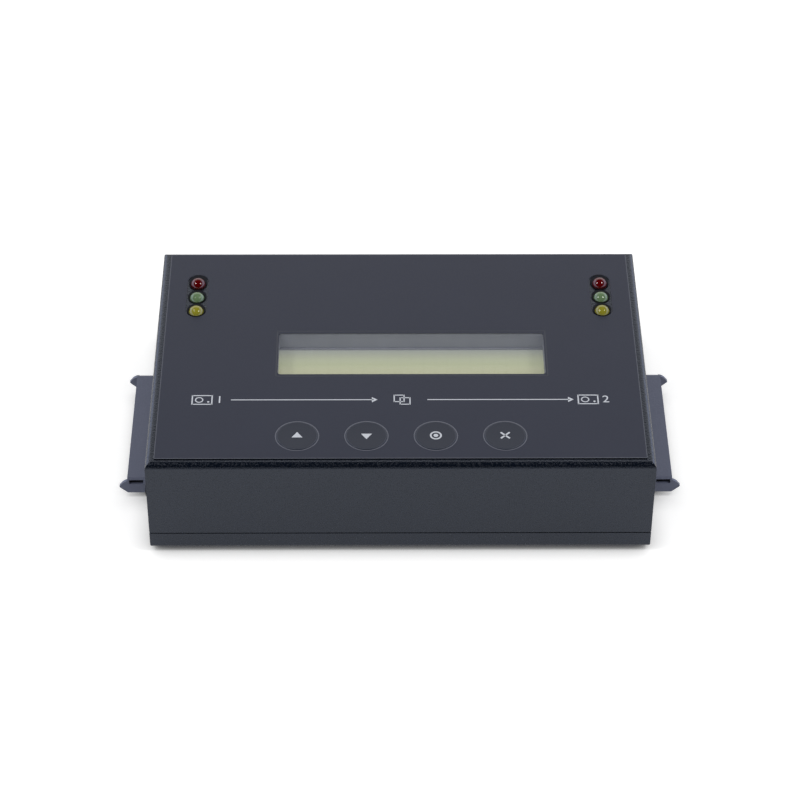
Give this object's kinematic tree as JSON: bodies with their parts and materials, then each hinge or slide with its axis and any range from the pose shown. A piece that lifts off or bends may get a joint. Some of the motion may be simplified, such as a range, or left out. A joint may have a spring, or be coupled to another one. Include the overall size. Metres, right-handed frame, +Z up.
{
  "type": "hard drive docking station",
  "caption": "Stand-alone drive docking station: folded steel case with a hooded drive dock on each side, recessed display, signal lamps and round push keys.",
  "frame": {"origin": "on the desk under the middle of the overall box, rear connectors and dock noses included", "axes": "+X to the user's right along the longest side, +Y to the rear connectors, +Z up from the desk"},
  "size_m": [0.1738, 0.1074, 0.0368],
  "materials": {
    "case_paint": "fine-grained powder coat",
    "dock_paint": "fine-grained powder coat",
    "printed_film": "fine matte film",
    "key_film": "fine matte film",
    "clear_window": "clear gloss",
    "grey_plastic": "moulded",
    "black_plastic": "moulded",
    "red_lens": "translucent gloss",
    "green_lens": "translucent gloss",
    "yellow_lens": "translucent gloss",
    "display_steel": "satin",
    "display_glass": "satin",
    "backlight": "translucent",
    "board": "solder mask",
    "chip": "moulded",
    "capacitor_sleeve": "satin",
    "heatsink": "satin",
    "plated_steel": "plated",
    "brass": "plated",
    "rubber": "matte",
    "black_steel": "black"
  },
  "bodies": {
    "case": {"top_cover": "case_paint", "base_chassis": "case_paint", "panel_overlay": "printed_film", "display_window": "clear_window", "key_switch_up": "black_plastic", "key_switch_down": "black_plastic", "key_switch_ok": "black_plastic", "key_switch_escape": "black_plastic", "left_lamp_red": "red_lens", "left_lamp_green": "green_lens", "left_lamp_yellow": "yellow_lens", "right_lamp_red": "red_lens", "right_lamp_green": "green_lens", "right_lamp_yellow": "yellow_lens", "display_frame": "display_steel", "display_glass": "display_glass", "display_backlight": "backlight", "display_board": "board", "control_board": "board", "main_board": "board", "controller_chip": "chip", "heatsink": "heatsink", "memory_chip": "chip", "power_capacitor": "capacitor_sleeve", "buzzer": "black_plastic", "board_link": "black_plastic", "left_dock_bracket": "dock_paint", "right_dock_bracket": "dock_paint", "left_sata_receptacle": "black_plastic", "right_sata_receptacle": "black_plastic", "dc_jack": "black_plastic", "dc_pin": "brass", "power_switch_housing": "black_plastic", "serial_shell": "plated_steel", "serial_insert": "black_plastic", "left_jackscrew": "plated_steel", "right_jackscrew": "plated_steel", "foot_front_left": "rubber", "foot_front_right": "rubber", "foot_rear_left": "rubber", "foot_rear_right": "rubber", "case_screw_front_left": "black_steel", "case_screw_front_right": "black_steel", "case_screw_rear_left": "black_steel", "case_screw_rear_right": "black_steel", "board_screw_front_left": "plated_steel", "board_screw_front_right": "plated_steel", "board_screw_rear_left": "plated_steel", "board_screw_rear_right": "plated_steel", "panel_screw_left": "plated_steel", "panel_screw_right": "plated_steel"},
    "up_key": {"key_up": "key_film", "plunger_up": "grey_plastic"},
    "down_key": {"key_down": "key_film", "plunger_down": "grey_plastic"},
    "ok_key": {"key_ok": "key_film", "plunger_ok": "grey_plastic"},
    "escape_key": {"key_escape": "key_film", "plunger_escape": "grey_plastic"},
    "rocker": {"power_rocker": "black_plastic"}
  },
  "joints": [
    {"name": "up_key_press", "type": "slide", "parent": "case", "child": "up_key", "axis": [0, 0, -1], "range_m": [0, 0.0004], "stiffness_N_per_m": 1500, "springref_m": -0.0003},
    {"name": "down_key_press", "type": "slide", "parent": "case", "child": "down_key", "axis": [0, 0, -1], "range_m": [0, 0.0004], "stiffness_N_per_m": 1500, "springref_m": -0.0003},
    {"name": "ok_key_press", "type": "slide", "parent": "case", "child": "ok_key", "axis": [0, 0, -1], "range_m": [0, 0.0004], "stiffness_N_per_m": 1500, "springref_m": -0.0003},
    {"name": "escape_key_press", "type": "slide", "parent": "case", "child": "escape_key", "axis": [0, 0, -1], "range_m": [0, 0.0004], "stiffness_N_per_m": 1500, "springref_m": -0.0003},
    {"name": "power_rocker_tilt", "type": "hinge", "parent": "case", "child": "rocker", "pos_m": [0.018, 0.0485, 0.0185], "axis": [0, 0, -1], "range_deg": [0, 24]}
  ]
}
